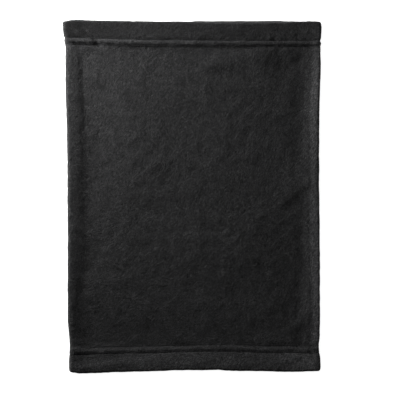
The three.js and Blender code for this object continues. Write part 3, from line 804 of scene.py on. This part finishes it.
back = cloth_piece("gaiter_back", 0, I_R)
fold = cloth_piece("gaiter_right_fold", I_R, I_F)
front = cloth_piece("gaiter_front", I_F, I_L, 4)
edge = cloth_piece("gaiter_left_edge", I_L, U - 1)
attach(back, "back")
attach(front, "front")
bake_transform(fold)
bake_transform(edge)
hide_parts("back_panel", "top_hem_back_turnup", "bottom_hem_back_turnup")
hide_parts("front_panel", "top_hem_front_turnup", "bottom_hem_front_turnup")
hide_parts("right_side_fold")
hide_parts("left_seam_back_ply", "left_seam_front_ply")


# ---- the side seam's allowance, inside the tube -----------------------------------------
def allowance(name, z, phase, low, high):
    """One ply of the side seam's allowance, from the seam line to its raw edge."""
    nu, nv = 14, 260
    u, v = np.meshgrid(np.linspace(0, 1, nu), np.linspace(0, 1, nv), indexing="ij")
    y = low + (high - low) * v
    x0, x1 = at(LEFT, y) + 3.4, at(LEFT, y) + 13.1
    x = x0 + (x1 - x0) * u + 0.22 * N2(y / 3.7 + phase, 0 * y + phase) * smooth((u - 0.8) / 0.2)
    zz = z + 0.10 * N3(x / 9 + phase, y / 12) * smooth(u / 0.3)
    p = np.stack([x, y, zz], -1)
    thick = 0.92 - 0.35 * smooth((u - 0.72) / 0.28)        # the overlock squeezes the raw edge
    up, down = p.copy(), p.copy()
    up[..., 2] += thick + 0.03 * N1(x / 2.1 + phase, y / 2.3)
    down[..., 2] -= thick
    verts, faces, rim = slab(up, down)
    ob = link(name, verts, faces)
    outward(ob)
    sharp_rim(ob, rim, nu * nv)
    c = np.stack([x + 900 + 100 * phase, y, 0 * y], -1).reshape(-1, 3)
    attribute(ob, "cut", np.concatenate([c, c + 3]))
    attribute(ob, "tone", np.ones(2 * len(c)), "FLOAT")
    ob.data.materials.append(FLEECE)
    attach(ob, "back")
    return ob


seam_low = allowance("seam_allowance_back_ply", 3.32, 0.0, -148.3, 149.3)
seam_high = allowance("seam_allowance_front_ply", 5.36, 1.0, -148.3, 149.3)
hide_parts("left_seam_back_ply")
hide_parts("left_seam_front_ply")


# ---- threads ----------------------------------------------------------------------------
def tubes(paths, radius, sides=6):
    """Closed round threads along many paths, as one mesh: vertices, faces and a twist coordinate."""
    vs, fs, tw, base = [], [], [], 0
    ang = np.linspace(0, 2 * math.pi, sides, endpoint=False)
    for k, path in enumerate(paths):
        p = np.asarray(path, float)
        n = len(p)
        t = np.gradient(p, axis=0)
        t /= np.maximum(np.linalg.norm(t, axis=1, keepdims=True), 1e-9)
        ref = np.array([0.0, 0.0, 1.0]) if np.abs(t[:, 2]).max() < 0.9 else np.array([0.0, 1.0, 0.0])
        s1 = np.cross(t, ref)
        s1 /= np.maximum(np.linalg.norm(s1, axis=1, keepdims=True), 1e-9)
        s2 = np.cross(s1, t)
        r = np.full(n, radius)
        r[0] *= 0.45
        r[-1] *= 0.45
        ring = p[:, None] + (np.cos(ang)[None, :, None] * s1[:, None] + np.sin(ang)[None, :, None] * s2[:, None]) * r[:, None, None]
        vs.append(ring.reshape(-1, 3))
        d = np.concatenate([[0], np.cumsum(np.linalg.norm(np.diff(p, axis=0), axis=1))])
        tw.append(np.stack([np.repeat(d[:, None], sides, 1), np.repeat(ang[None], n, 0), np.full((n, sides), k * 0.37)], -1).reshape(-1, 3))
        idx = base + np.arange(n * sides).reshape(n, sides)
        nxt = np.roll(idx, -1, axis=1)
        fs += np.stack([idx[:-1], nxt[:-1], nxt[1:], idx[1:]], -1).reshape(-1, 4).tolist()
        fs += [idx[0, ::-1].tolist(), idx[-1].tolist()]
        base += n * sides
    return np.concatenate(vs), fs, np.concatenate(tw)


def thread_piece(name, paths, radius, sides=6):
    verts, faces, tw = tubes(paths, radius, sides)
    ob = link(name, verts, faces)
    outward(ob)
    attribute(ob, "twist", tw)
    ob.data.materials.append(THREAD)
    return ob


def row_line(yref, i0, i1):
    """The outer face and its normals along a reference row, from column i0 to i1."""
    rows_ = YREF[V0:V1 + 1]
    lo = int(np.argmax(rows_ < yref)) + V0
    f = (yref - YREF[lo]) / (YREF[lo - 1] - YREF[lo])
    return OUT[i0:i1 + 1, lo] * (1 - f) + OUT[i0:i1 + 1, lo - 1] * f, NRM[i0:i1 + 1, lo]


def stitches(yref, i0, i1, pitch=2.9, radius=0.17, gap=0.45, lift=0.03, dip=0.5):
    """Short straight stitches that lie in the groove, each end diving into the cloth."""
    pts, nn = row_line(yref, i0, i1)
    d = np.concatenate([[0], np.cumsum(np.linalg.norm(np.diff(pts, axis=0), axis=1))])
    count = int(d[-1] // pitch)
    off = (d[-1] - count * pitch) / 2
    out = []
    share = np.array([0, 0.08, 0.25, 0.5, 0.75, 0.92, 1.0])
    for c in range(count):
        q = off + c * pitch + gap / 2 + (pitch - gap) * share
        path = np.stack([np.interp(q, d, pts[:, a]) for a in range(3)], -1)
        normal = np.stack([np.interp(q, d, nn[:, a]) for a in range(3)], -1)
        path += normal * (radius + lift - dip * np.array([1, 0.45, 0.06, 0, 0.06, 0.45, 1]))[:, None]
        path[:, 1] += 0.06 * math.sin(2.3 * c + yref) + 0.08 * np.linspace(-1, 1, 7) * math.cos(1.7 * c)
        out.append(path)
    return out


for row, yref in (("top_hem_outer", REF["to"] + 0.6), ("top_hem_inner", REF["ti"] - 0.45), ("bottom_hem_inner", REF["bi"] + 0.55), ("bottom_hem_outer", REF["bo"] - 0.15)):
    node = row + "_needle_thread"
    a = thread_piece(row + "_stitches_front", stitches(yref, I_F, I_L), 0.17)
    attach(a, "front")
    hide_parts(node)
    a = thread_piece(row + "_stitches_back", stitches(yref, 0, I_F) + stitches(yref, I_L, U - 1), 0.17)
    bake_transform(a)
    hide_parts(node)


def covering(y_low, y_high, x_low, x_high, height, pitch=2.9, radius=0.16):
    """The looper threads inside a hem: two loops a stitch, laid from row to row over the raw edge."""
    count = int((x_high - x_low) / pitch)
    path = []
    for c in range(count):
        x = x_low + c * pitch
        for k, (fx, fy, fz) in enumerate(((0.0, 0.04, -0.15), (0.10, 0.30, 0.1), (0.22, 0.62, 0.14), (0.34, 0.93, 0.0), (0.44, 0.99, -0.14), (0.54, 0.90, 0.0),
                                          (0.62, 0.60, 0.16), (0.70, 0.30, 0.12), (0.80, 0.08, 0.0), (0.92, 0.0, -0.15))):
            xx = x + (fx + 0.35 * fy) * pitch
            yy = y_low + (y_high - y_low) * fy
            path.append((xx, yy, fz, fy))
    return np.array(path), radius


def looper_piece(name, top, face):
    """face is front or back: the thread lies on the turned-in ply's face that looks into the tube."""
    (ya, yb) = (REF["ti"] - 0.4, REF["to"] + 0.5) if top else (REF["bo"] - 0.1, REF["bi"] + 0.5)
    line, radius = covering(ya, yb, -113.0, 117.5, 0)
    x, yref = line[:, 0], line[:, 1]
    share = np.full(len(x), 1.0 if face == "front" else 0.0)
    y = warp(yref, x, share)
    i0, i1 = (I_F, I_L) if face == "front" else (0, I_R)
    rows_ = slice(0, V0) if top else slice(V1 + 1, V)
    # height of the turned-in ply's inward face under each point, from the cloth's own grid
    cols = np.interp(x, *( (PX[i0:i1 + 1, 5][::-1], np.arange(i1, i0 - 1, -1)) if face == "front" else (PX[i0:i1 + 1, 5], np.arange(i0, i1 + 1)))).round().astype(int)
    yr = YREF[rows_]
    order = np.argsort(yr)
    js = np.interp(yref, yr[order], np.arange(V)[rows_][order]).round().astype(int)
    z = OUT[cols, js, 2]
    if face == "front":
        z = np.minimum.reduce([z, OUT[np.clip(cols + 2, 0, U - 1), js, 2], OUT[np.clip(cols - 2, 0, U - 1), js, 2]])
    beyond = (yref < 150.0) if top else (yref > -149.0)
    sign = -1 if face == "front" else 1
    zz = z + sign * (radius + 0.05 + line[:, 2])
    p = np.stack([x, y, zz], -1)
    ob = thread_piece(name, [p], radius, 5)
    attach(ob, face)
    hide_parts("top_hem_looper_thread" if top else "bottom_hem_looper_thread")
    return ob


for top in (True, False):
    for face in ("front", "back"):
        looper_piece(("top" if top else "bottom") + "_hem_looper_" + face, top, face)


# the side seam's overlock: two needle rows, and a looper thread over and under the raw edge
def seam_x(y):
    return at(LEFT, y)


def seam_path(offset, z, y0=-147.6, y1=148.6):
    out, pitch, c = [], 2.9, 0
    y = y0
    while y + pitch < y1:
        yy = y + 0.2 + (pitch - 0.4) * np.array([0, 0.08, 0.25, 0.5, 0.75, 0.92, 1.0])
        out.append(np.stack([seam_x(yy) + offset + 0.06 * math.sin(1.9 * c), yy, z + 0.17 - 0.5 * np.array([1, 0.45, 0.06, 0, 0.06, 0.45, 1])], -1))
        y += pitch
        c += 1
    return out


def overlock(z, side, inner, y0=-147.6, y1=148.6, pitch=2.9):
    """side 1 lies on the upper face and -1 on the lower one; each loop reaches the raw edge."""
    path, y = [], y0
    while y + pitch < y1:
        for fx, fy, lift in ((0.0, 0.0, -0.12), (0.30, 0.12, 0.12), (0.70, 0.28, 0.14), (0.97, 0.42, 0.02), (1.04, 0.50, -0.35), (0.97, 0.58, 0.02), (0.66, 0.70, 0.17), (0.28, 0.84, 0.14)):
            yy = y + fy * pitch
            x = seam_x(yy) + inner + (13.25 - inner) * fx
            squeeze = 0.35 * float(smooth((fx - 0.55) / 0.45))
            path.append((float(x), yy, z + side * (0.16 + lift - squeeze)))
        y += pitch
    return [np.array(path)]


for name, node, paths, rad in (("side_seam_left_needle_stitches", "side_seam_left_needle_thread", seam_path(4.9, 6.30), 0.17),
                               ("side_seam_right_needle_stitches", "side_seam_right_needle_thread", seam_path(7.4, 6.30), 0.17),
                               ("side_seam_upper_looper", "side_seam_upper_looper_thread", overlock(6.33, 1, 5.0), 0.15),
                               ("side_seam_lower_looper", "side_seam_lower_looper_thread", overlock(2.36, -1, 7.4), 0.15)):
    ob = thread_piece(name, paths, rad, 5)
    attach(ob, "back")
    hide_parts(node)


# ---- care label -------------------------------------------------------------------------
def care_label():
    """A blank satin ribbon folded double, its ends in the seam and its fold towards the middle of the tube."""
    nu, nv = 96, 40
    length, width, ply = 33.6, 27.6, 0.085
    s = np.linspace(0, 1, nu)
    r = 0.14                                       # the fold's radius, to the ribbon's middle
    straight = length - r
    total = 2 * straight + math.pi * r
    d = s * total
    x = np.where(d < straight, d, np.where(d < straight + math.pi * r, straight + r * np.sin((d - straight) / r), total - d))
    z = np.where(d < straight, -r, np.where(d < straight + math.pi * r, -r * np.cos((d - straight) / r), r))
    X, Vv = np.meshgrid(x, np.linspace(-0.5, 0.5, nv), indexing="ij")
    Z = np.repeat(z[:, None], nv, 1)
    left = float(at(LEFT, -98.0)) + 14.2
    bend = 0.05 * np.sin(X / length * math.pi) * np.cos(Vv * 5)
    mid = np.stack([left + X, -98.0 + Vv * width, 2.52 + Z * 0.62 + bend], -1)
    du, dv = np.gradient(mid, axis=0), np.gradient(mid, axis=1)
    n = np.cross(du, dv)
    n /= np.maximum(np.linalg.norm(n, axis=-1, keepdims=True), 1e-9)
    verts, faces, rim = slab(mid + n * ply * 0.8, mid - n * ply * 0.55)
    ob = link("care_label_ribbon", verts, faces)
    outward(ob)
    sharp_rim(ob, rim, nu * nv)
    D = np.repeat(d[:, None], nv, 1)
    c = np.stack([D, Vv * width, 0 * D], -1).reshape(-1, 3)
    attribute(ob, "cut", np.concatenate([c, c]))
    ob.data.materials.append(LABEL)
    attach(ob, "label")
    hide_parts("care_label")
    return ob


care_label()

# ---- floor, light, camera ---------------------------------------------------------------
floor = link("studio_floor", [(-3000, -3000, -0.1), (3000, -3000, -0.1), (3000, 3000, -0.1), (-3000, 3000, -0.1)], np.array([[0, 1, 2, 3]]))
mat, nt, b = nodes_of("pale_floor")
b.inputs["Base Color"].default_value = (0.9, 0.9, 0.9, 1)
b.inputs["Roughness"].default_value = 0.9
b.inputs["Specular IOR Level"].default_value = 0.0
b.inputs["Emission Color"].default_value = (1, 1, 1, 1)
b.inputs["Emission Strength"].default_value = 0.95
floor.data.materials.append(mat)
# a pale wall far away all round, seen by the camera alone
ring = [(7000 * math.cos(k * math.pi / 24), 7000 * math.sin(k * math.pi / 24)) for k in range(48)]
wall = link("studio_wall", [(x, y, z) for x, y in ring for z in (-800.0, 2600.0)], np.array([[2 * k, 2 * k + 1, (2 * k + 3) % 96, (2 * k + 2) % 96] for k in range(48)]))
wall.visible_diffuse = wall.visible_glossy = wall.visible_transmission = wall.visible_shadow = False
mat, nt, b = nodes_of("pale_wall")
b.inputs["Base Color"].default_value = (0.0, 0.0, 0.0, 1)
b.inputs["Specular IOR Level"].default_value = 0.0
b.inputs["Emission Color"].default_value = (1, 1, 1, 1)
b.inputs["Emission Strength"].default_value = 0.95
wall.data.materials.append(mat)

world = bpy.context.scene.world or bpy.data.worlds.new("world")
bpy.context.scene.world = world
world.use_nodes = True
bg = world.node_tree.nodes.get("Background") or world.node_tree.nodes.new("ShaderNodeBackground")
bg.inputs[0].default_value = (1, 1, 1, 1)
bg.inputs[1].default_value = 0.095


def area(name, loc, target, size, power):
    l = bpy.data.lights.new(name, "AREA")
    l.shape, l.size, l.energy = "DISK", size, power
    o = bpy.data.objects.new(name, l)
    bpy.context.scene.collection.objects.link(o)
    o.location = loc
    o.rotation_euler = (Vector(target) - Vector(loc)).to_track_quat("-Z", "Y").to_euler()
    o.visible_camera = False
    return o


area("key", (-0.345, 0.313, 0.145), (0.0, 0.0, 0.01), 0.16, 5.55)

cam = bpy.data.cameras.new("camera")
cam.sensor_width = 36
cam.lens = 36 * 3.0 / 0.4
co = bpy.data.objects.new("camera", cam)
co.location = (8.5 * MM, -3.7 * MM, 3.006)
cam.clip_end = 20
bpy.context.scene.collection.objects.link(co)
bpy.context.scene.camera = co
bpy.context.scene.view_settings.view_transform = "Standard"
bpy.context.scene.view_settings.look = "None"
